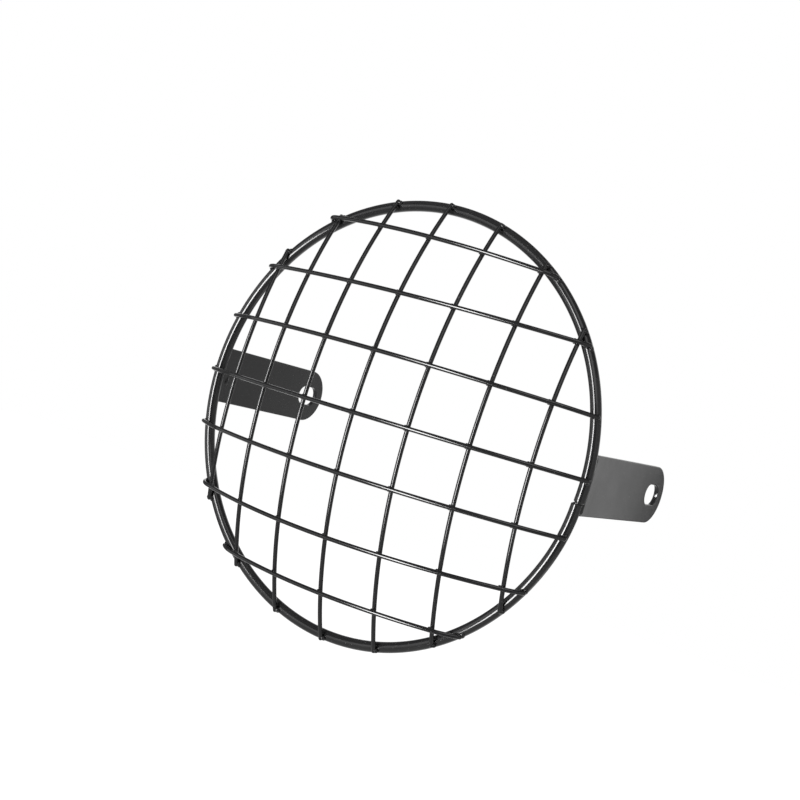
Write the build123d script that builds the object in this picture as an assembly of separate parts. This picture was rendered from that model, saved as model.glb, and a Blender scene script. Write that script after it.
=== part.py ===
from build123d import *
import os
from math import acos, atan2, cos, degrees, hypot, pi, radians, sin, sqrt

# Headlight grille: a domed mesh of welded wires on a round-bar rim, with two slotted tabs.
# Millimetres, +Z up. The origin is the middle of the rim, in the plane of its bar's centre line.
# The front of the lamp faces -Y, and the tabs run back along +Y.

# Rim
rim_radius = 90.0  # to the centre of the bar
bar_diameter = 4.5
seam_angle = -5.0  # degrees round from +X towards +Z
seam_step = 0.6  # how far the two ends of the bar miss each other
seam_run = 25.0  # the lower end is rolled tighter over this length
seam_width = 0.6
seam_depth = 0.5

# Mesh
wire_diameter = 1.8
dome_rise = 29.0  # from the rim's plane to the column wires' centre line at the crown
wires_each_side = 3  # of the middle wire
row_pitch = 25.4  # measured along the dome
column_pitch = 25.0  # measured along the dome
row_lift = 1.2  # the rows were laid this much above the middle of the rim
even_row_lean = 0.33  # 0 keeps the rows' planes level, 1 turns them all to the dome's centre
row_stub = 0.7  # wire end beyond the place where it lies on the rim
bent_stub = 0.5  # the same where the end is bent
column_stub = 0.7
wire_end_round = 0.4
bend_start = 0.9  # from the last crossing to the start of a row's end bend
bend_room = 2.1  # shortest stretch that a row's end is bent in

# Hand-laid wires that sit off their even places, counted from the middle one
row_shift = {-3: 0.3, -2: -0.75, -1: 0.5, 0: -0.5, 1: -0.1, 2: -0.7, 3: 1.0}
column_shift = {-3: 2.7, -2: 0.4, -1: 0.2, 0: 0.3, 1: 0.2, 2: 0.6}
row_lean = {-2: 0.45, 2: 0.1}
column_lean = {-3: -0.5, -2: -0.2, 2: 0.13}  # as for the rows, but the even ones have none
layer_turn = {"row": -0.3, "column": 0.5}  # degrees about the lamp's axis, clockwise from the front
row_turn = {-3: 0.0, -2: -0.5, 1: 0.0, 3: 1.6}
column_turn = {-3: 1.6, 1: 0.3, 3: 0.2}
right_trim = {-3: 0.2, -2: 0.3, 2: 0.75, 3: 1.05}  # rows cut short on the right, measured outwards

# Tabs
tab_width = 24.0
tab_thickness = 2.0
tab_reach = 80.4  # from the rim's plane to the rounded end
tab_inset = 0.4  # the bar bows out from the flat tab, so the tab sits inside the rim's radius
tab_cope = 1.0  # how far the tab's end reaches round the back of the bar
tab_edge_round = 0.3
slot_width = 8.5
slot_length = 14.0
left_tab_drop = 1.5  # below the middle of the rim
right_tab_drop = 0.5
left_tab_lean = 0.2  # degrees, rounded end up
right_tab_lean = 1.9
bead_radius = 1.4
bead_margin = 2.0  # from the tab's edge to the middle of the bead's round end

# Worked out from the sizes above
bar_radius = bar_diameter / 2
wire_radius = wire_diameter / 2
seat = bar_radius + wire_radius  # from the bar's centre line to that of a wire lying on it
column_dome = (rim_radius**2 + dome_rise**2 - seat**2) / (2 * (dome_rise - seat))
row_dome = column_dome + wire_diameter  # the rows lie on the columns
dome_centre = column_dome - dome_rise  # behind the rim's plane
rim_latitude = atan2(rim_radius, dome_centre)  # of the rim, seen from the dome's centre
seam_radius = 1 / (1 / rim_radius + 2 * seam_step / seam_run**2)  # of the tighter length
count = range(-wires_each_side, wires_each_side + 1)


class DomeWire:
    """A wire on the dome: an arc in its own plane, `place` along the dome from the crown."""

    def __init__(self, place, dome, lean, heading):
        latitude = place / dome
        self.dome = dome
        self.lean = lean * latitude
        self.heading = heading
        self.offset = dome * sin(latitude - self.lean)
        self.radius = sqrt(dome**2 - self.offset**2)
        turned = Rot(0, degrees(heading), 0) * Rot(-degrees(self.lean), 0, 0)
        self.frame = Pos(0, dome_centre, 0) * turned * Pos(0, 0, self.offset)

    def point(self, across, ahead, above=0.0):
        """A point in or above the wire's plane, given from the arc's centre, in the part's frame."""
        offset = self.offset + above
        aside = offset * cos(self.lean) + ahead * sin(self.lean)
        front = ahead * cos(self.lean) - offset * sin(self.lean)
        x = across * cos(self.heading) + aside * sin(self.heading)
        z = aside * cos(self.heading) - across * sin(self.heading)
        return x, dome_centre - front, z

    def rim_angle(self):
        """Angle along the arc, from its crown, at which the wire passes over the rim."""
        ahead = self.dome * cos(rim_latitude) + self.offset * sin(self.lean)
        return acos(ahead / (self.radius * cos(self.lean)))

    def beyond(self, spot):
        """How far a point of the part's frame lies beyond the wire's plane, away from the crown."""
        x, y, z = spot
        aside = x * sin(self.heading) + z * cos(self.heading)
        return aside * cos(self.lean) - (dome_centre - y) * sin(self.lean) - self.offset

    def angle_over(self, column):
        """Angle along the arc at which this row crosses a column's plane."""
        low, high = -1.2, 1.2
        while high - low > 1e-9:
            middle = (low + high) / 2
            if column.beyond(self.point(self.radius * sin(middle), self.radius * cos(middle))) < 0:
                low = middle
            else:
                high = middle
        return high


def rim_distance(spot):
    """From a point to the centre line of the rim's bar."""
    x, y, z = spot
    return hypot(hypot(x, z) - rim_radius, y)


def bent_place(row, start, radius, turn):
    """Where a row's end bend has come to after a turn, from the centre of the row's arc."""
    lift = row.radius - radius
    across = lift * sin(start) + radius * sin(start + turn)
    ahead = lift * cos(start) + radius * cos(start + turn)
    return across, ahead


def end_bend(row, start, side):
    """Radius and turn of the bend that lays a row's end on the rim without biting into it."""

    def landing(radius):
        nearest = (row.radius, 0.0)
        turn = 0.0
        while True:
            turn += 0.05 / radius
            across, ahead = bent_place(row, start, radius, turn)
            distance = rim_distance(row.point(side * across, ahead))
            if distance > nearest[0]:
                return nearest
            nearest = (distance, turn)

    tight, easy = seat, row.radius
    while easy - tight > 1e-4:
        radius = (tight + easy) / 2
        if landing(radius)[0] < seat:
            tight = radius
        else:
            easy = radius
    return easy, landing(easy)[1]


def cut_bend(row, start, side, trim):
    """Radius and turn of the tighter bend that sets a shorter row's tip down on the rim."""
    tip_ring = wire_radius - wire_end_round

    def tip_gap(radius, turn):
        across, ahead = bent_place(row, start, radius, turn)
        heading = start + turn
        gaps = []
        for step in range(36):
            out = tip_ring * cos(step * pi / 18)
            above = tip_ring * sin(step * pi / 18)
            tip_across = across - wire_end_round * cos(heading) + out * sin(heading)
            tip_ahead = ahead + wire_end_round * sin(heading) + out * cos(heading)
            gaps.append(rim_distance(row.point(side * tip_across, tip_ahead, above)))
        return min(gaps) - bar_radius - wire_end_round

    def landing(radius):
        step = 0.05 / radius
        turn = 0.0
        while tip_gap(radius, turn + step) > 0:
            turn += step
        while step > 1e-7:
            step /= 2
            if tip_gap(radius, turn + step) > 0:
                turn += step
        return turn

    def spread(radius, turn):
        across, ahead = bent_place(row, start, radius, turn)
        x, y, z = row.point(side * across, ahead)
        return hypot(x, z)

    easy, turn = end_bend(row, start, side)
    goal = spread(easy, turn) - trim
    tight = wire_diameter
    while easy - tight > 1e-3:
        radius = (tight + easy) / 2
        if spread(radius, landing(radius)) < goal:
            tight = radius
        else:
            easy = radius
    return tight, landing(tight)


def arc(centre, radius, start, turn):
    """Arc in a wire's plane. Angles are in radians from the crown, which lies at -Y."""
    return CenterArc(centre, radius, degrees(start) - 90, degrees(turn))


def round_wire(arcs, frame):
    """Round wire along tangent arcs, with softened cut ends, set in its place."""
    path = Wire(arcs)
    wire = sweep(Plane(path @ 0, z_dir=path % 0) * Circle(wire_radius), path=path)
    cut_ends = wire.faces().filter_by(GeomType.PLANE).edges()
    return frame * fillet(cut_ends, wire_end_round)


def column_wire(column):
    """A column lies on the rim at both ends, by the dome's own curve."""
    reach = column.rim_angle() + column_stub / column.radius
    return round_wire([arc((0, 0), column.radius, -reach, 2 * reach)], column.frame)


def row_wire(row, columns, trim):
    """A row follows the dome to its last column, then bends down to the rim."""
    over_rim = row.rim_angle()
    crossings = [row.angle_over(column) for column in columns]
    ends = {}
    bends = {}
    for side in (-1, 1):
        last = max(side * angle for angle in crossings if side * angle < over_rim)
        start = last + bend_start / row.radius
        if (over_rim - start) * row.radius < bend_room:
            ends[side] = over_rim + row_stub / row.radius
            continue
        ends[side] = start
        if side > 0 and trim > 0:
            radius, turn = cut_bend(row, start, side, trim)
        else:
            radius, turn = end_bend(row, start, side)
            turn += bent_stub / radius
        lift = row.radius - radius
        centre = (side * lift * sin(start), -lift * cos(start))
        bends[side] = arc(centre, radius, side * start, side * turn)
    crown = arc((0, 0), row.radius, -ends[-1], ends[-1] + ends[1])
    return round_wire([crown, *bends.values()], row.frame)


def hoop(gap):
    """One turn of bar. Its last stretch, below the seam, is rolled tighter and runs in."""
    run = degrees(seam_run / rim_radius)
    section = Pos(rim_radius, 0, 0) * Circle(bar_radius)
    turn = revolve(section, Axis.Y, 360 - run - gap)
    inner_section = Pos(seam_radius, 0, 0) * Circle(bar_radius)
    inner_run = (run - gap) * rim_radius / seam_radius
    tight = Rot(0, -inner_run, 0) * revolve(inner_section, Axis.Y, inner_run)
    whole = turn + Pos(rim_radius - seam_radius, 0, 0) * tight
    return Rot(0, run - seam_angle, 0) * whole


def rim_ring():
    """The bar is butt-welded inside, and a groove is left open round the seam."""
    gap = degrees(seam_width / 2 / rim_radius)
    core_place = Rot(0, -seam_angle, 0) * Pos(rim_radius - seam_step / 2, 0, 0)
    return hoop(gap) + core_place * Cylinder(bar_radius - seam_depth, 2 * seam_width)


def tab(side, drop, lean, bar):
    """Flat strip, coped to sit on the back of the bar, with a rounded and slotted end."""
    root = bar_radius - tab_cope
    round_centre = tab_reach - tab_width / 2
    strip = Pos((root + round_centre) / 2, 0) * Rectangle(round_centre - root, tab_width)
    outline = strip + Pos(round_centre, 0) * Circle(tab_width / 2)
    outline -= Pos(round_centre, 0) * SlotOverall(slot_length, slot_width)
    upright = Plane(origin=(0, 0, 0), x_dir=(0, 1, 0), z_dir=(1, 0, 0))
    plate = upright * extrude(outline, tab_thickness / 2, both=True)
    edges = plate.faces().filter_by(Axis.X).edges()
    plate = fillet([edge for edge in edges if edge.center().Y > root + 1], tab_edge_round)
    return Pos(side * (rim_radius - tab_inset), 0, -drop) * Rot(lean, 0, 0) * plate - bar


def tab_weld(side, drop, bar):
    """Bead in the corner between the tab's outer face and the bar, with round ends."""
    face = tab_thickness / 2 - tab_inset  # beyond the bar's centre line
    half_run = tab_width / 2 - bead_margin
    corner = sqrt(bar_radius**2 - face**2)
    bead = Cylinder(bead_radius, 2 * half_run)
    for end in (-half_run, half_run):
        bead += Pos(0, 0, end) * Sphere(bead_radius)
    outside = Pos(bead_radius, 0, 0) * Box(2 * bead_radius, 4 * bead_radius, 2 * tab_width)
    placed = Pos(rim_radius + face, corner, -drop) * (bead & outside)
    if side < 0:
        placed = mirror(placed, Plane.YZ)
    return placed - bar


columns = []
rows = []
for n in count:
    place = column_pitch * n + column_shift.get(n, 0)
    turn = 90 + column_turn.get(n, layer_turn["column"])
    columns.append(DomeWire(place, column_dome, column_lean.get(n, 0), radians(turn)))
    place = row_lift + row_pitch * n + row_shift.get(n, 0)
    turn = row_turn.get(n, layer_turn["row"])
    rows.append(DomeWire(place, row_dome, row_lean.get(n, even_row_lean), radians(turn)))

pieces = {"rim_ring": rim_ring()}
for number, column in enumerate(columns, 1):
    pieces[f"column_wire_{number}"] = column_wire(column)
for number, n in enumerate(reversed(count), 1):
    pieces[f"row_wire_{number}"] = row_wire(rows[n + wires_each_side], columns, right_trim.get(n, 0))
bar = hoop(0)
tabs = (("left", -1, left_tab_drop, left_tab_lean), ("right", 1, right_tab_drop, right_tab_lean))
for name, side, drop, lean in tabs:
    pieces[f"{name}_tab"] = tab(side, drop, lean, bar)
    pieces[f"{name}_tab_weld"] = tab_weld(side, drop, bar)

os.makedirs("parts", exist_ok=True)
for name, piece in pieces.items():
    export_step(piece, f"parts/{name}.step")
    print(name, round(piece.volume, 1))
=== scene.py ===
import bpy
import numpy as np
from mathutils import Matrix


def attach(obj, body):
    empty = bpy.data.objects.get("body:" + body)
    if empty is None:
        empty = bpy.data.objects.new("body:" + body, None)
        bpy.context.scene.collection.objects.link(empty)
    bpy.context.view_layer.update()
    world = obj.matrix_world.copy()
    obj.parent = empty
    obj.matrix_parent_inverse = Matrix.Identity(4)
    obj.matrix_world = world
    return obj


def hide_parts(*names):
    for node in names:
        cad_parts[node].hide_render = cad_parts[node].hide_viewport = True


# Headlight grille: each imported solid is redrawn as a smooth, coated surface of the same form.
# The object's sizes are in millimetres until a mesh is made, and the stage's are in metres.
# The lamp faces -Y, +Z is up, and the origin is the rim's middle.

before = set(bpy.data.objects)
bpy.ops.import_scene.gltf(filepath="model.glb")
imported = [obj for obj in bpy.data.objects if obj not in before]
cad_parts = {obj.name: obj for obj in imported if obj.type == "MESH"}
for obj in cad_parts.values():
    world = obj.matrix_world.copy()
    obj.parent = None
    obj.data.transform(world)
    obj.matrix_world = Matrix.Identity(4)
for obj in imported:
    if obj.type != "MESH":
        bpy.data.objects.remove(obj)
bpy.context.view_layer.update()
print("frame loaded:", len(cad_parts), "nodes")

millimetre = 0.001


# Mesh helpers

def ringFaces(rows, sides, closed):
    # quads between each ring of points and the next; a closed surface joins its last ring to its first
    u = np.arange(rows if closed else rows - 1)[:, None]
    v = np.arange(sides)[None, :]
    ahead = (u + 1) % rows
    beside = (v + 1) % sides
    corners = [u * sides + v, ahead * sides + v, ahead * sides + beside, u * sides + beside]
    return np.stack(np.broadcast_arrays(*corners), -1).reshape(-1, 4)


def capFaces(ring, pole):
    # a fan of triangles from a pole to each side of a ring of points
    corners = [np.full(len(ring), pole), ring, np.roll(ring, -1)]
    return np.stack(corners, -1)


def signedVolume(points, faces):
    # sum of the tetrahedra between the origin and each face: positive where faces point outwards
    a, b, c = (points[faces[:, k]] for k in (0, 1, 2))
    total = np.einsum("ij,ij->", a, np.cross(b, c))
    if faces.shape[1] == 4:
        d = points[faces[:, 3]]
        total += np.einsum("ij,ij->", a, np.cross(c, d))
    return total


def surfaceObject(name, patches, material, replaced=()):
    # each patch is a grid of rings, with a pole at both ends or closed on itself, and all go into one mesh
    points = []
    faces = []
    first = 0
    for grid, poles in patches:
        rows, sides = grid.shape[:2]
        patch = grid.reshape(-1, 3)
        quads = ringFaces(rows, sides, poles is None)
        fans = np.zeros((0, 3), int)
        if poles is not None:
            patch = np.vstack([patch, *poles])
            lastRing = (rows - 1) * sides + np.arange(sides)
            startFan = capFaces(np.arange(sides)[::-1], rows * sides)
            fans = np.vstack([startFan, capFaces(lastRing, rows * sides + 1)])
        volume = signedVolume(patch, quads) + (signedVolume(patch, fans) if len(fans) else 0)
        if volume < 0:
            quads = quads[:, ::-1]
            fans = fans[:, ::-1]
        faces += (quads + first).tolist() + (fans + first).tolist()
        points.append(patch)
        first += len(patch)
    data = bpy.data.meshes.new(name)
    data.from_pydata((np.vstack(points) * millimetre).tolist(), [], faces)
    data.polygons.foreach_set("use_smooth", np.ones(len(data.polygons), bool))
    data.materials.append(material)
    data.update()
    piece = bpy.data.objects.new(name, data)
    bpy.context.scene.collection.objects.link(piece)
    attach(piece, "root")
    if replaced:
        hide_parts(*replaced)
    return piece


# Coat: black enamel, sprayed on, with a faint orange peel and a little dust in it

mixSockets = {"first": 6, "second": 7, "mixed": 2}  # a Mix node's own sockets for colours
sprayedCoat = {"Peel Size": 700.0, "Grain Size": 4200.0, "Mottle Size": 60.0, "Smooth": 0.2, "Rough": 0.3,
               "tone": (0.02, 0.02, 0.02), "peelDetail": 2.0, "grainDetail": 1.0, "grainShare": 0.02,
               "mottleDetail": 4.0, "mottleBreak": 0.6, "mottleFrom": 0.32, "mottleTo": 0.68}
coatSpecks = {"Speck Size": 1500.0, "Rarity": 0.7, "detail": 0.0, "peak": 0.82}


def linkNodes(tree, source, output, target, socket):
    # joins an output of one node to an input of another, each by its name or its number
    tree.links.new(source.outputs[output], target.inputs[socket])


def addSocket(group, way, kind, label, usual=None):
    # a named input or output of a node group, with its usual value
    socket = group.interface.new_socket(label, in_out=way, socket_type="NodeSocket" + kind)
    if usual is not None:
        socket.default_value = usual


def addNode(tree, kind, **settings):
    # a new node of the given kind, with its plain settings
    node = tree.nodes.new(kind)
    for key, value in settings.items():
        setattr(node, key, value)
    return node


def makeCoatGroup():
    # peel is two sizes of noise added as a height; mottle moves roughness and tone between two ends
    group = bpy.data.node_groups.new("sprayedCoat", "ShaderNodeTree")
    addSocket(group, "INPUT", "Vector", "Place")
    for label in ("Peel Size", "Grain Size", "Mottle Size", "Smooth", "Rough"):
        addSocket(group, "INPUT", "Float", label, sprayedCoat[label])
    for label in ("Deep", "Pale"):
        addSocket(group, "INPUT", "Color", label, (*sprayedCoat["tone"], 1))
    addSocket(group, "OUTPUT", "Color", "Color")
    addSocket(group, "OUTPUT", "Float", "Roughness")
    addSocket(group, "OUTPUT", "Float", "Height")
    inlet = addNode(group, "NodeGroupInput")
    outlet = addNode(group, "NodeGroupOutput")
    peel = addNode(group, "ShaderNodeTexNoise")
    peel.inputs["Detail"].default_value = sprayedCoat["peelDetail"]
    grain = addNode(group, "ShaderNodeTexNoise")
    grain.inputs["Detail"].default_value = sprayedCoat["grainDetail"]
    mottle = addNode(group, "ShaderNodeTexNoise")
    mottle.inputs["Detail"].default_value = sprayedCoat["mottleDetail"]
    mottle.inputs["Roughness"].default_value = sprayedCoat["mottleBreak"]
    for node, size in ((peel, "Peel Size"), (grain, "Grain Size"), (mottle, "Mottle Size")):
        linkNodes(group, inlet, "Place", node, "Vector")
        linkNodes(group, inlet, size, node, "Scale")
    height = addNode(group, "ShaderNodeMath", operation="MULTIPLY_ADD")
    height.inputs[1].default_value = sprayedCoat["grainShare"]
    linkNodes(group, grain, 0, height, 0)
    linkNodes(group, peel, 0, height, 2)
    linkNodes(group, height, 0, outlet, "Height")
    spread = addNode(group, "ShaderNodeMapRange")
    spread.inputs["From Min"].default_value = sprayedCoat["mottleFrom"]
    spread.inputs["From Max"].default_value = sprayedCoat["mottleTo"]
    linkNodes(group, mottle, 0, spread, "Value")
    linkNodes(group, inlet, "Smooth", spread, "To Min")
    linkNodes(group, inlet, "Rough", spread, "To Max")
    linkNodes(group, spread, 0, outlet, "Roughness")
    tone = addNode(group, "ShaderNodeMix", data_type="RGBA")
    linkNodes(group, mottle, 0, tone, 0)
    linkNodes(group, inlet, "Deep", tone, mixSockets["first"])
    linkNodes(group, inlet, "Pale", tone, mixSockets["second"])
    linkNodes(group, tone, mixSockets["mixed"], outlet, "Color")
    return group


def makeSpeckGroup():
    # specks are the few peaks of a fine noise: dust that dried into the coat, paler and rougher than it
    group = bpy.data.node_groups.new("coatSpecks", "ShaderNodeTree")
    addSocket(group, "INPUT", "Vector", "Place")
    for label in ("Speck Size", "Rarity"):
        addSocket(group, "INPUT", "Float", label, coatSpecks[label])
    addSocket(group, "OUTPUT", "Float", "Mask")
    inlet = addNode(group, "NodeGroupInput")
    outlet = addNode(group, "NodeGroupOutput")
    dust = addNode(group, "ShaderNodeTexNoise")
    dust.inputs["Detail"].default_value = coatSpecks["detail"]
    linkNodes(group, inlet, "Place", dust, "Vector")
    linkNodes(group, inlet, "Speck Size", dust, "Scale")
    peak = addNode(group, "ShaderNodeMapRange")
    peak.inputs["From Max"].default_value = coatSpecks["peak"]
    linkNodes(group, dust, 0, peak, "Value")
    linkNodes(group, inlet, "Rarity", peak, "From Min")
    linkNodes(group, peak, 0, outlet, "Mask")
    return group


coatGroup = makeCoatGroup()
speckGroup = makeSpeckGroup()


def makeCoat(name, look):
    # a black enamel under a clear gloss: tone, roughness and bump come from the sprayed coat and its specks
    material = bpy.data.materials.new(name)
    material.use_nodes = True
    tree = material.node_tree
    enamel = tree.nodes["Principled BSDF"]
    enamel.inputs["IOR"].default_value = look["ior"]
    enamel.inputs["Coat Weight"].default_value = look["gloss"]
    enamel.inputs["Coat Roughness"].default_value = look["glossRough"]
    place = addNode(tree, "ShaderNodeTexCoord")
    coat = addNode(tree, "ShaderNodeGroup", node_tree=coatGroup)
    coat.inputs["Peel Size"].default_value = look["peel"]
    coat.inputs["Mottle Size"].default_value = look["mottle"]
    coat.inputs["Smooth"].default_value = look["smooth"]
    coat.inputs["Rough"].default_value = look["rough"]
    coat.inputs["Deep"].default_value = (*look["deep"], 1)
    coat.inputs["Pale"].default_value = (*look["pale"], 1)
    specks = addNode(tree, "ShaderNodeGroup", node_tree=speckGroup)
    specks.inputs["Speck Size"].default_value = look["speckSize"]
    specks.inputs["Rarity"].default_value = look["speckRarity"]
    linkNodes(tree, place, "Object", coat, "Place")
    linkNodes(tree, place, "Object", specks, "Place")
    tint = addNode(tree, "ShaderNodeMix", data_type="RGBA")
    tint.inputs[mixSockets["second"]].default_value = (*look["speckTone"], 1)
    linkNodes(tree, specks, "Mask", tint, 0)
    linkNodes(tree, coat, "Color", tint, mixSockets["first"])
    linkNodes(tree, tint, mixSockets["mixed"], enamel, "Base Color")
    dulled = addNode(tree, "ShaderNodeMath", operation="MULTIPLY_ADD")
    dulled.inputs[1].default_value = look["speckRough"]
    linkNodes(tree, specks, "Mask", dulled, 0)
    linkNodes(tree, coat, "Roughness", dulled, 2)
    linkNodes(tree, dulled, 0, enamel, "Roughness")
    bump = addNode(tree, "ShaderNodeBump")
    bump.inputs["Strength"].default_value = look["bump"]
    bump.inputs["Distance"].default_value = look["bumpDepth"]
    linkNodes(tree, coat, "Height", bump, "Height")
    linkNodes(tree, bump, 0, enamel, "Normal")
    return material


usualCoat = {
    "deep": (0.010, 0.010, 0.0105), "pale": (0.018, 0.018, 0.0185), "ior": 1.5, "gloss": 0.3,
    "glossRough": 0.05, "smooth": 0.10, "rough": 0.16, "mottle": 70.0, "peel": 300.0, "bump": 0.04,
    "bumpDepth": 0.00006, "speckSize": 1500.0, "speckRarity": 0.77, "speckTone": (0.05, 0.05, 0.05),
    "speckRough": 0.15}
barCoat = makeCoat("barCoat", {**usualCoat, "pale": (0.019, 0.019, 0.0195)})
# the wires carry the bar's enamel, with its tones set darker as painted shade for the wires' darker look in
# this light
shadedWireCoat = makeCoat("shadedWireCoat", {
    **usualCoat, "deep": (0.008, 0.008, 0.0085), "pale": (0.014, 0.014, 0.0145), "peel": 400.0})
stripCoat = makeCoat("stripCoat", {
    **usualCoat, "ior": 1.66, "smooth": 0.12, "bump": 0.1, "gloss": 0.05})
beadCoat = makeCoat("beadCoat", {
    **usualCoat, "peel": 700.0, "bump": 0.1, "smooth": 0.2, "rough": 0.28, "gloss": 0.1})
runCoat = makeCoat("runCoat", {
    **usualCoat, "ior": 1.62, "peel": 700.0, "smooth": 0.3, "rough": 0.4, "gloss": 0.0})
print("coats made: bar, wire, strip, bead and weld run")


# Rim: one turn of bar whose last stretch is rolled tighter, with a groove at the seam

rim = {"radius": 90.0, "bar": 2.25, "seamAngle": -5.0, "seamStep": 0.6, "seamRun": 25.0,
       "grooveHalf": 0.3, "grooveDepth": 0.5, "grooveRound": 0.45, "steps": 460, "sides": 40,
       "nearSeam": (0.1, 0.2, 0.28, 0.30, 0.32, 0.36, 0.42, 0.5, 0.6, 0.75, 1.0, 1.4), "fromSeam": 2.0}


def rimPath(along):
    # circle of the rim's radius from the seam on, then an arc of smaller radius that shares its tangent
    length = 2 * np.pi * rim["radius"]
    tightRadius = 1 / (1 / rim["radius"] + 2 * rim["seamStep"] / rim["seamRun"] ** 2)
    seam = np.radians(rim["seamAngle"])
    tailStart = length - rim["seamRun"]
    plain = np.minimum(along, tailStart) / rim["radius"] + seam
    tail = np.maximum(along - tailStart, 0) / tightRadius
    angle = plain + tail
    last = tailStart / rim["radius"] + seam
    shift = np.where(along > tailStart, rim["radius"] - tightRadius, 0.0)
    reach = np.where(along > tailStart, tightRadius, rim["radius"])
    x = shift * np.cos(last) + reach * np.cos(angle)
    z = shift * np.sin(last) + reach * np.sin(angle)
    outward = np.stack([np.cos(angle), np.zeros_like(angle), np.sin(angle)], -1)
    return np.stack([x, np.zeros_like(x), z], -1), outward


def makeRim():
    # circle of the bar's radius carried round the path; near the seam the radius dips to the groove's floor
    length = 2 * np.pi * rim["radius"]
    close = np.array(rim["nearSeam"])  # finer steps beside the groove
    plain = np.linspace(rim["fromSeam"], length - rim["fromSeam"], rim["steps"])
    along = np.concatenate([close, plain, (length - close)[::-1]])
    fromSeam = np.minimum(along, length - along)
    climb = np.clip((fromSeam - rim["grooveHalf"]) / rim["grooveRound"], 0, 1)
    radius = rim["bar"] - rim["grooveDepth"] * (1 - np.sqrt(1 - (1 - climb) ** 2))
    middle, outward = rimPath(along)
    around = np.linspace(0, 2 * np.pi, rim["sides"], endpoint=False)
    spoke = outward[:, None] * np.cos(around)[None, :, None]
    spoke = spoke + np.array([0.0, 1.0, 0.0]) * np.sin(around)[None, :, None]
    grid = middle[:, None] + radius[:, None, None] * spoke
    return surfaceObject("rimBar", [(grid, None)], barCoat, ["rim_ring"])


makeRim()
print("rim made")


# Wires: arcs cut from two domes, one wire's thickness apart, rows over columns

wires = {"radius": 0.9, "rise": 29.0, "eachSide": 3, "rowPitch": 25.4, "columnPitch": 25.0, "rowLift": 1.2,
         "rowStub": 0.7, "bentStub": 0.5, "columnStub": 0.7, "bendStart": 0.9, "bendRoom": 2.1,
         "usualColumnTurn": 0.5, "usualRowTurn": -0.3, "usualRowLean": 0.33, "crossingRoom": 0.002,
         "tipRound": 0.4, "endRound": 0.9, "tipSteps": 8, "bendSteps": 30, "noBend": 3.0,
         "steps": 170, "sides": 20}
search = {"bendSteps": 1600, "bendStride": 0.05, "bendClose": 1e-4,
          "cutSteps": 900, "cutStride": 0.02, "cutClose": 1e-3, "tipSpokes": 36}

# each wire's own shift in millimetres, lean as a share of its latitude and turn in degrees, by its number
# from the middle, and what is cut off the right end of four rows
rowShift = {-3: 0.3, -2: -0.75, -1: 0.5, 0: -0.5, 1: -0.1, 2: -0.7, 3: 1.0}
columnShift = {-3: 2.7, -2: 0.4, -1: 0.2, 0: 0.3, 1: 0.2, 2: 0.6}
rowLean = {-2: 0.45, 2: 0.1}
columnLean = {-3: -0.5, -2: -0.2, 2: 0.13}
rowTurn = {-3: 0.0, -2: -0.5, 1: 0.0, 3: 1.6}
columnTurn = {-3: 1.6, 1: 0.3, 3: 0.2}
rightTrim = {-3: 0.2, -2: 0.3, 2: 0.75, 3: 1.05}

seat = rim["bar"] + wires["radius"]
columnDome = (rim["radius"] ** 2 + wires["rise"] ** 2 - seat ** 2) / (2 * (wires["rise"] - seat))
rowDome = columnDome + 2 * wires["radius"]
domeMiddle = np.array([0.0, columnDome - wires["rise"], 0.0])
rimLatitude = np.arctan2(rim["radius"], domeMiddle[1])


def wirePlane(place, dome, lean, heading):
    # the plane through the dome that a wire lies in: its axes, the arc's centre and the arc's radius
    latitude = place / dome
    tilt = lean * latitude
    across = np.array([np.cos(heading), 0.0, -np.sin(heading)])
    aside = np.array([np.sin(heading), 0.0, np.cos(heading)])
    front = np.array([0.0, -1.0, 0.0])
    offset = dome * np.sin(latitude - tilt)
    normal = aside * np.cos(tilt) - front * np.sin(tilt)
    radius = np.sqrt(dome ** 2 - offset ** 2)
    overRim = np.arccos((dome * np.cos(rimLatitude) + offset * np.sin(tilt)) / (radius * np.cos(tilt)))
    return {"across": across, "ahead": aside * np.sin(tilt) + front * np.cos(tilt), "normal": normal,
            "centre": domeMiddle + offset * normal, "radius": radius, "overRim": overRim}


def wirePath(plane, turn, bends):
    # crown arc up to each bend's start, then a smaller arc with the same tangent; turn is the wire's heading
    (lowStart, lowRadius), (highStart, highRadius) = bends
    held = np.clip(turn, lowStart, highStart)
    radius = np.where(turn > highStart, highRadius, np.where(turn < lowStart, lowRadius, plane["radius"]))
    spare = plane["radius"] - radius
    across = spare * np.sin(held) + radius * np.sin(turn)
    ahead = spare * np.cos(held) + radius * np.cos(turn)
    path = plane["centre"] + across[:, None] * plane["across"] + ahead[:, None] * plane["ahead"]
    outward = np.sin(turn)[:, None] * plane["across"] + np.cos(turn)[:, None] * plane["ahead"]
    return path, outward


def crossingTurn(row, column):
    # where the row's arc meets the column's plane: a cos + b sin = c, solved for the angle nearest the crown
    a = row["radius"] * row["ahead"] @ column["normal"]
    b = row["radius"] * row["across"] @ column["normal"]
    c = (column["centre"] - row["centre"]) @ column["normal"]
    return np.arctan2(b, a) - np.arccos(np.clip(c / np.hypot(a, b), -1, 1))


def endBend(plane, start, side):
    # radius and turn of the bend that comes within a bar's and a wire's radius of the bar's centre circle
    steps = np.arange(1, search["bendSteps"]) * search["bendStride"]

    def landing(radius):
        turn = side * (start + steps / radius)
        bends = ((-start, radius), (start, radius))
        path, outward = wirePath(plane, turn, bends)
        distance = np.hypot(np.hypot(path[:, 0], path[:, 2]) - rim["radius"], path[:, 1])
        rising = np.nonzero(np.diff(distance) > 0)[0]
        lowest = rising[0] if len(rising) else len(steps) - 1
        return distance[lowest], steps[lowest] / radius

    tight, easy = seat, plane["radius"]
    while easy - tight > search["bendClose"]:
        radius = (tight + easy) / 2
        if landing(radius)[0] < seat:
            tight = radius
        else:
            easy = radius
    return easy, landing(easy)[1]


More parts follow.
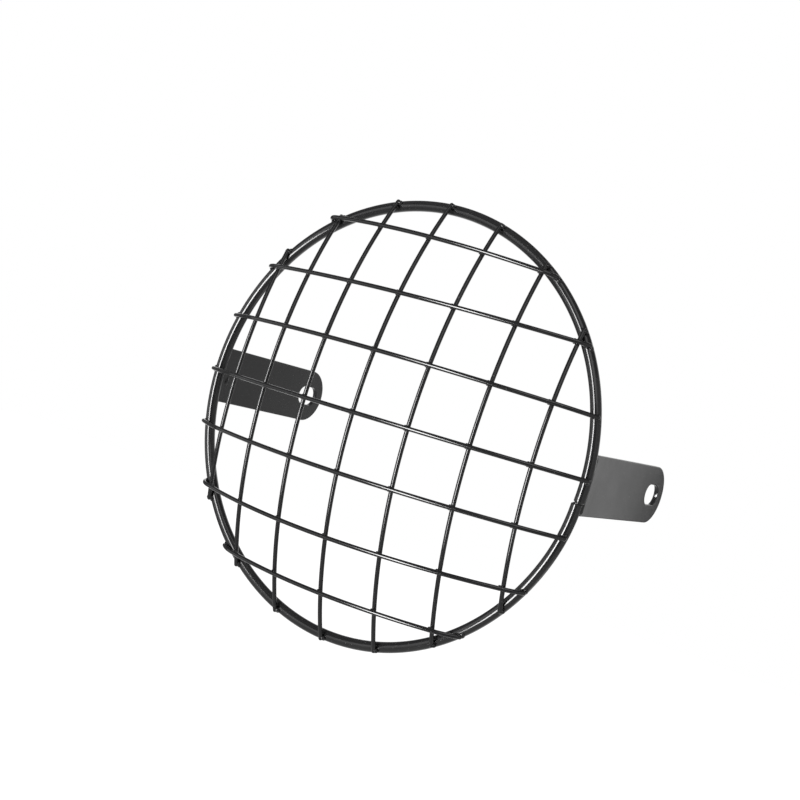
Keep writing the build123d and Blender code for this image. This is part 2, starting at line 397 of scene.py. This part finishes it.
def cutBend(plane, start, trim):
    # tighter bend of a row that is cut short on the right: the rounding of its tip meets the bar, nearer to
    # the lamp's axis by the trim
    ball = wires["tipRound"]
    ring = wires["radius"] - ball
    spin = np.linspace(0, 2 * np.pi, search["tipSpokes"], endpoint=False)[None, :, None]

    def tipGap(radius, turn):
        heading = start + np.atleast_1d(turn)
        path, outward = wirePath(plane, heading, ((-start, radius), (start, radius)))
        along = np.cross(plane["normal"], outward)
        along = along * np.sign(along @ plane["across"])[:, None]
        spokes = np.cos(spin) * outward[:, None] + np.sin(spin) * plane["normal"]
        edge = (path - ball * along)[:, None] + ring * spokes
        distance = np.hypot(np.hypot(edge[..., 0], edge[..., 2]) - rim["radius"], edge[..., 1])
        return distance.min(1) - rim["bar"] - ball, np.hypot(path[:, 0], path[:, 2])

    def landing(radius):
        turns = np.arange(1, search["cutSteps"]) * search["cutStride"] / radius
        gap, spread = tipGap(radius, turns)
        k = np.nonzero(gap <= 0)[0][0]
        share = gap[k - 1] / (gap[k - 1] - gap[k])
        turn = turns[k - 1] + share * (turns[k] - turns[k - 1])
        return turn, np.interp(turn, turns, spread)

    easy, turn = endBend(plane, start, 1)
    goal = tipGap(easy, turn)[1][0] - trim
    tight = 2 * wires["radius"]
    while easy - tight > search["cutClose"]:
        radius = (tight + easy) / 2
        if landing(radius)[1] < goal:
            tight = radius
        else:
            easy = radius
    return tight, landing(tight)[0]


def wireGrid(plane, low, high, bends):
    # circle of the wire's radius carried along its path, drawn in to a round tip at both cut ends
    tip = wires["endRound"]
    tips = tip * (1 - np.cos(np.linspace(0, np.pi / 2, wires["tipSteps"])))
    lowRadius = bends[0][1] if low < bends[0][0] else plane["radius"]
    highRadius = bends[1][1] if high > bends[1][0] else plane["radius"]
    first = low + tips / lowRadius
    last = high - tips[::-1] / highRadius
    between = [np.linspace(first[-1], last[0], wires["steps"])[1:-1]]
    for start, radius in bends:
        if low < start < high and radius < plane["radius"]:
            end = high if start > 0 else low
            stop = end + np.sign(start) * -tip / radius
            between.append(np.linspace(start, stop, wires["bendSteps"])[:-1])
    turn = np.concatenate([first, np.unique(np.concatenate(between)), last])
    path, outward = wirePath(plane, turn, bends)
    length = np.concatenate([[0], np.cumsum(np.linalg.norm(np.diff(path, axis=0), axis=1))])
    fromEnd = np.clip(np.minimum(length, length[-1] - length) / tip, 0, 1)
    radius = wires["radius"] * np.sqrt(1 - (1 - fromEnd) ** 2)
    around = np.linspace(0, 2 * np.pi, wires["sides"], endpoint=False)
    spoke = outward[:, None] * np.cos(around)[None, :, None] + plane["normal"] * np.sin(around)[None, :, None]
    grid = path[:, None] + radius[:, None, None] * spoke
    return grid[1:-1], (path[0], path[-1])


def straightBends(plane):
    # bends of the arc's own radius that start past both ends, so that the whole wire is one arc
    return ((-wires["noBend"], plane["radius"]), (wires["noBend"], plane["radius"]))


def layWires():
    # the places and planes of all wires, with each row's ends bent down to the rim where there is room
    columns = []
    rows = []
    numbers = range(-wires["eachSide"], wires["eachSide"] + 1)
    for n in numbers:
        heading = np.radians(90 + columnTurn.get(n, wires["usualColumnTurn"]))
        place = wires["columnPitch"] * n + columnShift.get(n, 0)
        columns.append(wirePlane(place, columnDome, columnLean.get(n, 0.0), heading))
        heading = np.radians(rowTurn.get(n, wires["usualRowTurn"]))
        place = wires["rowLift"] + wires["rowPitch"] * n + rowShift.get(n, 0)
        rows.append(wirePlane(place, rowDome, rowLean.get(n, wires["usualRowLean"]), heading))
    for column in columns:
        column["bends"] = straightBends(column)
        reach = column["overRim"] + wires["columnStub"] / column["radius"]
        column["ends"] = [-reach, reach]
        column["landings"] = [-column["overRim"], column["overRim"]]
    for n, row in zip(numbers, rows):
        crossings = [crossingTurn(row, column) for column in columns]
        furthest = row["overRim"] + wires["crossingRoom"]
        row["crossings"] = [turn for turn in crossings if abs(turn) < furthest]
        bends = list(straightBends(row))
        row["ends"] = [0.0, 0.0]
        row["landings"] = [0.0, 0.0]
        for k, side in enumerate((-1, 1)):
            last = max(side * turn for turn in crossings if side * turn < row["overRim"])
            start = last + wires["bendStart"] / row["radius"]
            if (row["overRim"] - start) * row["radius"] < wires["bendRoom"]:
                row["ends"][k] = side * (row["overRim"] + wires["rowStub"] / row["radius"])
                row["landings"][k] = side * row["overRim"]
                continue
            stub = wires["bentStub"]
            if side > 0 and n in rightTrim:
                radius, turn = cutBend(row, start, rightTrim[n])
                stub = 0.0
            else:
                radius, turn = endBend(row, start, side)
            bends[k] = (side * start, radius)
            row["ends"][k] = side * (start + turn + stub / radius)
            row["landings"][k] = side * (start + turn)
        row["bends"] = tuple(bends)
    return rows, columns


rows, columns = layWires()
for number, column in enumerate(columns, 1):
    grid, poles = wireGrid(column, *column["ends"], column["bends"])
    surfaceObject(f"columnWire{number}", [(grid, poles)], shadedWireCoat, [f"column_wire_{number}"])
for number, row in enumerate(reversed(rows), 1):
    grid, poles = wireGrid(row, *row["ends"], row["bends"])
    surfaceObject(f"rowWire{number}", [(grid, poles)], shadedWireCoat, [f"row_wire_{number}"])
print("wires made:", len(columns), "columns and", len(rows), "rows")


# Spot welds: a small pillow of metal where two wires cross and where a wire lies on the bar

welds = {"crossWide": 1.05, "crossCorner": 0.42, "crossThick": 0.7,
         "seatLong": 1.4, "seatWide": 1.1, "seatThick": 0.6, "seatDrift": 0.35, "seatLift": 0.05,
         "seatSizes": (0.9, 1.12), "seatDrifts": (0.2, 1.4), "seatWave": 0.1, "seatRipple": 0.06,
         "endLong": 1.6, "endWide": 1.0, "endThick": 1.1, "endBack": 1.1, "endSink": 0.4, "endDrift": 0.35,
         "endSizes": (0.92, 1.08), "endWave": 0.05, "phases": (0, 6.28), "seed": 7, "rings": 9, "sides": 24}


def pillow(middle, long, wide, up, reach, thickness):
    # an ellipsoid on its own axes, whose reach in plan changes round it
    around = np.linspace(0, 2 * np.pi, welds["sides"], endpoint=False)
    height = np.linspace(-np.pi / 2, np.pi / 2, welds["rings"] + 2)[1:-1]
    flat = reach(around)[None, :, None] * np.cos(height)[:, None, None]
    plan = np.cos(around)[None, :, None] * long + np.sin(around)[None, :, None] * wide
    rise = np.sin(height)[:, None, None] * thickness * up
    poles = (middle - thickness * up, middle + thickness * up)
    return middle + flat * plan + rise, poles


def unit(vector):
    # a vector divided by its length
    return vector / np.linalg.norm(vector)


def crossWelds():
    # at each crossing the pillow is four-cornered, and fills the corners between the two wires
    patches = []
    for row in rows:
        for turn in row["crossings"]:
            path, outward = wirePath(row, np.array([turn]), row["bends"])
            along = np.cross(row["normal"], outward[0])
            middle = path[0] - wires["radius"] * outward[0]
            patches.append(pillow(middle, along, row["normal"], outward[0],
                                  lambda a: welds["crossWide"] + welds["crossCorner"] * np.sin(2 * a) ** 2,
                                  welds["crossThick"]))
    return surfaceObject("crossWelds", patches, beadCoat)


def seatWelds():
    # at each end of a column a pillow, set back from the tip, is the wire's end as the weld pressed it out
    # wherever a wire lies on the rim a pillow runs along the bar, a little to one side, as the metal ran
    patches = []
    chance = np.random.default_rng(welds["seed"])
    for column in columns:
        for end in column["ends"]:
            turn = end - np.sign(end) * welds["endBack"] / column["radius"]
            path, outward = wirePath(column, np.array([turn]), column["bends"])
            wide = np.cross(column["normal"], outward[0])
            size = chance.uniform(*welds["endSizes"])
            phase = chance.uniform(*welds["phases"])
            long = column["normal"] * welds["endLong"] * size
            rightward = column["normal"] * np.sign(column["normal"][0])
            middle = path[0] - welds["endSink"] * outward[0] + welds["endDrift"] * rightward
            patches.append(pillow(middle, long, wide * welds["endWide"], outward[0],
                                  lambda a: 1 + welds["endWave"] * np.sin(2 * a + phase),
                                  welds["endThick"] * size))
    for wire in columns + rows:
        for turn in wire["landings"]:
            path, outward = wirePath(wire, np.array([turn]), wire["bends"])
            bearing = np.arctan2(path[0, 2], path[0, 0])
            radial = np.array([np.cos(bearing), 0.0, np.sin(bearing)])
            bar = rim["radius"] * radial
            up = unit(path[0] - bar)
            along = unit(np.array([-np.sin(bearing), 0.0, np.cos(bearing)]))
            along = along * (1 if along[0] > 0 else -1)
            wide = np.cross(up, along)
            size = chance.uniform(*welds["seatSizes"])
            drift = welds["seatDrift"] * chance.uniform(*welds["seatDrifts"])
            phase = chance.uniform(*welds["phases"])
            middle = bar + (rim["bar"] + welds["seatLift"]) * up + drift * along
            long = along * welds["seatLong"] * size
            patches.append(pillow(middle, long, wide * welds["seatWide"] * size, up,
                                  lambda a: (1 + welds["seatWave"] * np.sin(2 * a + phase)
                                             + welds["seatRipple"] * np.sin(3 * a - phase)),
                                  welds["seatThick"] * size))
    return surfaceObject("seatWelds", patches, beadCoat)


crossWelds()
seatWelds()
print("spot welds made")


# Tabs: slotted strips with a round end and softened edges

tabs = {"width": 24.0, "thick": 2.0, "reach": 80.4, "inset": 0.4, "root": 1.25, "edgeRound": 0.3,
        "slotWide": 8.5, "slotLong": 14.0, "support": 0.12, "tiny": 1e-9,
        "sideSteps": 44, "endSteps": 65, "rootSteps": 11, "edgeSteps": 6,
        "left": {"side": -1, "drop": 1.5, "lean": 0.2}, "right": {"side": 1, "drop": 0.5, "lean": 1.9}}


def stripOutline(shrink):
    # straight sides and a half circle, all moved in by the same amount
    half = tabs["width"] / 2 - shrink
    middle = tabs["reach"] - tabs["width"] / 2
    run = middle - tabs["root"] - shrink
    fade = 1 - (1 - np.linspace(0, 1, tabs["sideSteps"])) ** 2
    lower = np.stack([tabs["root"] + shrink + run * fade, np.full(len(fade), -half)], -1)
    swing = np.linspace(-np.pi / 2, np.pi / 2, tabs["endSteps"])[1:-1]
    end = np.stack([middle + half * np.cos(swing), half * np.sin(swing)], -1)
    upper = lower[::-1] * np.array([1, -1])
    across = np.linspace(half, -half, tabs["rootSteps"])[1:-1]
    root = np.stack([np.full(len(across), tabs["root"] + shrink), across], -1)
    return np.vstack([lower, end, upper, root])


def slotOutline(grow):
    # a stadium, met by the ray from its middle to each point of the strip's outline
    middle = np.array([tabs["reach"] - tabs["width"] / 2, 0.0])
    ray = stripOutline(0.0) - middle
    ray = ray / np.linalg.norm(ray, axis=1)[:, None]
    half = tabs["slotWide"] / 2 + grow
    straight = (tabs["slotLong"] - tabs["slotWide"]) / 2
    side = half / np.maximum(np.abs(ray[:, 1]), tabs["tiny"])
    curve = straight * np.abs(ray[:, 0]) + np.sqrt(half ** 2 - (straight * ray[:, 1]) ** 2)
    reach = np.where(side * np.abs(ray[:, 0]) <= straight, side, curve)
    return middle + reach[:, None] * ray


def makeTab(name):
    # a section carried round the strip: over one face, round its edge, over the other and through the slot
    spot = tabs[name]
    half = tabs["thick"] / 2
    edge = tabs["edgeRound"]
    bend = np.linspace(0, np.pi / 2, tabs["edgeSteps"])
    loops = []
    for shape, order in ((stripOutline, 1), (slotOutline, -1)):
        for side, turns in ((half, bend), (-half, bend[::-1])):
            for turn in turns:
                inset = edge * (1 - np.sin(turn))
                depth = np.sign(side) * (half - edge + edge * np.cos(turn))
                loops.append((shape, inset, depth * order))
        near = edge + tabs["support"]
        loops.insert(len(loops) - 2 * len(bend), (shape, near, half * order))
        loops.append((shape, near, -half * order))
    grid = []
    for shape, inset, depth in loops:
        flat = shape(inset)
        grid.append(np.stack([np.full(len(flat), depth), flat[:, 0], flat[:, 1]], -1))
    grid = np.array(grid)
    lean = np.radians(spot["lean"])
    x = spot["side"] * (rim["radius"] - tabs["inset"]) + grid[..., 0]
    y = grid[..., 1] * np.cos(lean) - grid[..., 2] * np.sin(lean)
    z = grid[..., 1] * np.sin(lean) + grid[..., 2] * np.cos(lean) - spot["drop"]
    return surfaceObject(name + "Tab", [(np.stack([x, y, z], -1), None)], stripCoat, [name + "_tab"])


makeTab("left")
makeTab("right")
print("tabs made")


# Tab beads: a run of weld in the corner between each tab's outer face and the bar, and a tack inside

beads = {"radius": 1.4, "low": 0.55, "margin": 2.0, "ripple": 0.04, "pitch": 3.1, "sway": 0.6,
         "swayRate": 0.9, "crown": 1.3, "steps": 120, "sides": 40}
tacks = {"long": 1.9, "wide": 1.2, "thick": 0.4, "behind": 3.2, "below": 2.4, "lobe": 0.15, "phase": 1.0}


def makeBead(name):
    # rounded diamond about the corner, |x / low|^crown + |y|^crown = radius^crown, carried up it
    # the radius swells at each ripple and closes round at both ends
    spot = tabs[name]
    face = tabs["thick"] / 2 - tabs["inset"]
    corner = np.sqrt(rim["bar"] ** 2 - face ** 2)
    half = tabs["width"] / 2 - beads["margin"] + beads["radius"]
    swing = np.linspace(-np.pi / 2, np.pi / 2, beads["steps"])
    along = half * np.sin(swing)
    fromEnd = np.clip((half - np.abs(along)) / beads["radius"], 0, 1)
    radius = beads["radius"] * np.sqrt(1 - (1 - fromEnd) ** 2)
    sway = beads["sway"] * np.sin(along * beads["swayRate"])
    wave = np.abs(np.sin(np.pi * along / beads["pitch"] + sway))
    radius = radius * (1 - beads["ripple"] + beads["ripple"] * wave)
    around = np.linspace(0, 2 * np.pi, beads["sides"], endpoint=False)
    crown = beads["crown"]
    spread = np.abs(np.cos(around)) ** crown + np.abs(np.sin(around)) ** crown
    reach = radius[:, None] / spread ** (1 / crown)
    x = spot["side"] * (rim["radius"] + face + beads["low"] * reach * np.cos(around))
    y = corner + reach * np.sin(around)
    z = np.broadcast_to(along[:, None] - spot["drop"], x.shape)
    grid = np.stack([x, y, z], -1)
    ends = (grid[0].mean(0), grid[-1].mean(0))
    return surfaceObject(name + "TabBead", [(grid[1:-1], ends)], runCoat, [name + "_tab_weld"])


def makeTacks():
    # a small three-lobed pillow on each tab's inner face, just behind the bar and below the tab's middle
    patches = []
    face = tabs["inset"] + tabs["thick"] / 2
    corner = np.sqrt(rim["bar"] ** 2 - face ** 2)
    for name in ("left", "right"):
        side = tabs[name]["side"]
        height = -tabs[name]["drop"] - tacks["below"]
        middle = np.array([side * (rim["radius"] - face), corner + tacks["behind"], height])
        long = np.array([0.0, 0.0, tacks["long"]])
        wide = np.array([0.0, tacks["wide"], 0.0])
        inward = np.array([-side, 0.0, 0.0])
        patches.append(pillow(middle, long, wide, inward,
                              lambda a: 1 + tacks["lobe"] * np.sin(3 * a + tacks["phase"]), tacks["thick"]))
    return surfaceObject("tabTacks", patches, runCoat)


makeBead("left")
makeBead("right")
makeTacks()
print("beads and tacks made")


# Stage: pale floor with a painted glow, white surround, a tall soft light ahead on the left, and cards that
# only reflections show, their glow painted light and their dark greys painted shade

stage = {"floorDrop": 0.9, "floorHalf": 7.0, "floorPoints": 3, "floorTone": 0.85, "frontGlow": 0.07,
         "sightGlow": 0.45, "backGlow": 0.85, "glowFrom": -0.2, "glowTo": 1.45, "surround": 0.3, "matt": 0.9}
keyLight = {"place": (-0.213, -1.423, -0.177), "wide": 0.40, "high": 1.3, "tilt": 18.0, "spread": 72.0,
            "power": 6.0}
cardRing = {"radius": 1.75, "low": -0.9, "high": 1.3, "steps": 40}
ceiling = {"tone": 0.4, "glow": 0.03}
wedge = {"span": (14.0, 50.0), "near": 0.3, "gap": 0.01, "tone": 0.3, "glow": 1.0, "steps": 12}
# each card's span is in degrees from straight ahead towards the right; its low and high edges are the ring's
# unless it has its own
# a card's glow is painted light, and a dark card with little or no glow is painted shade, both seen only in
# reflections
cards = {"outerLeftCard": {"span": (-128.0, -86.0), "tone": 0.2, "glow": 0.06},
         "farLeftUpper": {"span": (-86.0, -55.0), "tone": 0.1, "glow": 0.05, "low": 0.45},
         "farLeftBand": {"span": (-86.0, -55.0), "tone": 0.3, "glow": 0.55, "low": -0.45, "high": 0.45},
         "farLeftLower": {"span": (-86.0, -55.0), "tone": 0.3, "glow": 0.12, "high": -0.45},
         "leftUpper": {"span": (-55.0, -20.0), "tone": 0.1, "glow": 0.03, "low": 0.45},
         "leftBand": {"span": (-55.0, -20.0), "tone": 0.3, "glow": 0.7, "low": -0.45, "high": 0.45},
         "leftLower": {"span": (-55.0, -20.0), "tone": 0.3, "glow": 0.3, "high": -0.45},
         "frontFlag": {"span": (-20.0, 50.0), "tone": 0.02, "glow": 0.0, "high": 0.4},
         "upperCard": {"span": (-20.0, 14.0), "tone": 0.3, "glow": 0.1, "low": 0.4},
         "eyeFlag": {"span": (14.0, 50.0), "tone": 0.02, "glow": 0.15, "low": 0.4, "high": 0.6},
         "eyeCard": {"span": (14.0, 50.0), "tone": 0.3, "glow": 1.0, "low": 0.6},
         "rightCard": {"span": (50.0, 130.0), "tone": 0.6, "glow": 0.22},
         "tabCard": {"span": (130.0, 152.0), "tone": 0.2, "glow": 0.28},
         "lowCard": {"span": (156.9, 176.0), "tone": 0.1, "glow": 0.0, "high": 0.03}}


def stageSheet(name, points, material):
    # an open grid of quads between neighbouring points
    index = np.arange(points[..., 0].size).reshape(points.shape[:2])
    corners = [index[:-1, :-1], index[1:, :-1], index[1:, 1:], index[:-1, 1:]]
    data = bpy.data.meshes.new(name)
    data.from_pydata(points.reshape(-1, 3).tolist(), [], np.stack(corners, -1).reshape(-1, 4).tolist())
    data.materials.append(material)
    data.update()
    sheet = bpy.data.objects.new(name, data)
    bpy.context.scene.collection.objects.link(sheet)
    return sheet


def plainMaterial(name, tone, glow):
    # matt paint of one grey, with a white glow of its own, which is painted light: no sheet here is a lamp
    material = bpy.data.materials.new(name)
    material.use_nodes = True
    paint = material.node_tree.nodes["Principled BSDF"]
    paint.inputs["Base Color"].default_value = (tone, tone, tone, 1)
    paint.inputs["Roughness"].default_value = stage["matt"]
    paint.inputs["Specular IOR Level"].default_value = 0.0
    paint.inputs["Emission Color"].default_value = (1, 1, 1, 1)
    paint.inputs["Emission Strength"].default_value = glow
    return material


def seenOrReflected(tree):
    # 1 for a ray from the eye, from gloss or through glass, and 0 for the light that falls on things
    ray = addNode(tree, "ShaderNodeLightPath")
    seen = addNode(tree, "ShaderNodeMath", operation="MAXIMUM")
    linkNodes(tree, ray, "Is Camera Ray", seen, 0)
    linkNodes(tree, ray, "Is Glossy Ray", seen, 1)
    through = addNode(tree, "ShaderNodeMath", operation="MAXIMUM")
    linkNodes(tree, seen, 0, through, 0)
    linkNodes(tree, ray, "Is Transmission Ray", through, 1)
    return through


def makeFloor():
    # a level square of pale paper whose painted glow grows smoothly from the front to the back, painted light
    # as on a lit sweep:
    # for the eye from a pale tone, and in reflections from a dark one, which is painted shade
    along = np.linspace(-stage["floorHalf"], stage["floorHalf"], stage["floorPoints"])
    x, y = np.meshgrid(along, along)
    points = np.stack([x, y, np.full_like(x, -stage["floorDrop"])], -1)
    paper = plainMaterial("paleFloor", stage["floorTone"], stage["backGlow"])
    tree = paper.node_tree
    place = addNode(tree, "ShaderNodeTexCoord")
    split = addNode(tree, "ShaderNodeSeparateXYZ")
    glow = addNode(tree, "ShaderNodeMapRange", interpolation_type="SMOOTHSTEP")
    for label, value in (("From Min", "glowFrom"), ("From Max", "glowTo"), ("To Max", "backGlow")):
        glow.inputs[label].default_value = stage[value]
    front = addNode(tree, "ShaderNodeMapRange")
    front.inputs["To Min"].default_value = stage["frontGlow"]
    front.inputs["To Max"].default_value = stage["sightGlow"]
    linkNodes(tree, addNode(tree, "ShaderNodeLightPath"), "Is Camera Ray", front, "Value")
    linkNodes(tree, front, 0, glow, "To Min")
    linkNodes(tree, place, "Object", split, 0)
    linkNodes(tree, split, "Y", glow, "Value")
    white = addNode(tree, "ShaderNodeMath", operation="MULTIPLY")
    linkNodes(tree, glow, 0, white, 0)
    linkNodes(tree, seenOrReflected(tree), 0, white, 1)
    linkNodes(tree, white, 0, tree.nodes["Principled BSDF"], "Emission Strength")
    return stageSheet("paleFloor", points, paper)


def makeCard(name):
    # an upright sheet bent round the object, between two bearings from straight ahead towards the right; seen
    # only in reflections, its glow is painted light and a dark one is painted shade
    card = cards[name]
    edges = [card.get("low", cardRing["low"]), card.get("high", cardRing["high"])]
    angle, height = np.meshgrid(np.radians(np.linspace(*card["span"], cardRing["steps"])), edges)
    points = np.stack([cardRing["radius"] * np.sin(angle), -cardRing["radius"] * np.cos(angle), height], -1)
    return stageSheet(name, points, plainMaterial(name, card["tone"], card["glow"]))


def makeCeiling():
    # a level square over the cards' upper edges, dark grey with a faint glow: painted shade that only
    # reflections show
    reach = cardRing["radius"]
    x, y = np.meshgrid([-reach, reach], [-reach, reach])
    points = np.stack([x, y, np.full_like(x, cardRing["high"])], -1)
    return stageSheet("ceiling", points, plainMaterial("ceiling", ceiling["tone"], ceiling["glow"]))


def makeWedge():
    # a sector just under the ceiling, between two bearings and out to the cards, that glows white: painted
    # light that only reflections show
    bearings = np.radians(np.linspace(*wedge["span"], wedge["steps"]))
    angle, reach = np.meshgrid(bearings, [wedge["near"], cardRing["radius"] - wedge["gap"]])
    height = np.full_like(reach, cardRing["high"] - wedge["gap"])
    points = np.stack([reach * np.sin(angle), -reach * np.cos(angle), height], -1)
    return stageSheet("wedge", points, plainMaterial("wedge", wedge["tone"], wedge["glow"]))


def standing(right, up, back, place):
    # matrix whose columns are an object's own right, up and back, and its place
    lines = [[right[k], up[k], back[k], place[k]] for k in range(3)]
    return Matrix(lines + [[0, 0, 0, 1]])


def areaLight(name, spot):
    # a rectangle that shines at the origin, turned about its own axis by the tilt
    light = bpy.data.lights.new(name, "AREA")
    light.shape = "RECTANGLE"
    light.size = spot["wide"]
    light.size_y = spot["high"]
    light.energy = spot["power"]
    light.spread = np.radians(spot["spread"])
    lamp = bpy.data.objects.new(name, light)
    bpy.context.scene.collection.objects.link(lamp)
    away = unit(np.array(spot["place"]))
    level = unit(np.cross([0.0, 0.0, 1.0], away))
    upright = np.cross(away, level)
    tilt = np.radians(spot["tilt"])
    side = level * np.cos(tilt) + upright * np.sin(tilt)
    up = upright * np.cos(tilt) - level * np.sin(tilt)
    lamp.matrix_world = standing(side, up, away, spot["place"])
    lamp.visible_camera = False
    return lamp


def makeWorld():
    # white to the eye and in reflections, and a low plain light on everything else
    world = bpy.data.worlds.new("whiteSurround")
    bpy.context.scene.world = world
    world.use_nodes = True
    tree = world.node_tree
    sky = tree.nodes["Background"]
    sky.inputs["Color"].default_value = (1, 1, 1, 1)
    strength = addNode(tree, "ShaderNodeMapRange")
    strength.inputs["To Min"].default_value = stage["surround"]
    strength.inputs["To Max"].default_value = 1.0
    linkNodes(tree, seenOrReflected(tree), 0, strength, "Value")
    linkNodes(tree, strength, 0, sky, "Strength")


makeFloor()
# the ceiling, wedge and cards show only in reflections: their glow is painted light and their dark greys
# painted shade
for sheet in [makeCeiling(), makeWedge()] + [makeCard(name) for name in cards]:
    sheet.visible_camera = False  # they stand out of the picture, and other views look past them
    sheet.visible_diffuse = False  # they shape reflections, and neither light nor shade the floor
    sheet.visible_shadow = False
areaLight("keyLight", keyLight)
makeWorld()
print("stage lit")


# Camera: where the photograph was taken from

view = {"place": (0.3094, -0.5148, 0.01505), "lens": 66.6, "sensor": 36.0, "shift": 0.000625, "near": 0.01,
        "right": (0.82255, 0.4934, 0.28277), "up": (-0.24699, -0.13793, 0.95915),
        "back": (0.51225, -0.8588, 0.00841)}
cameraData = bpy.data.cameras.new("photoView")
cameraData.lens = view["lens"]
cameraData.sensor_width = view["sensor"]
cameraData.shift_x = -view["shift"]
cameraData.shift_y = view["shift"]
cameraData.clip_start = view["near"]
camera = bpy.data.objects.new("photoView", cameraData)
bpy.context.scene.collection.objects.link(camera)
camera.matrix_world = standing(view["right"], view["up"], view["back"], view["place"])
bpy.context.scene.camera = camera
bpy.context.scene.view_settings.view_transform = "Standard"
print("camera set")
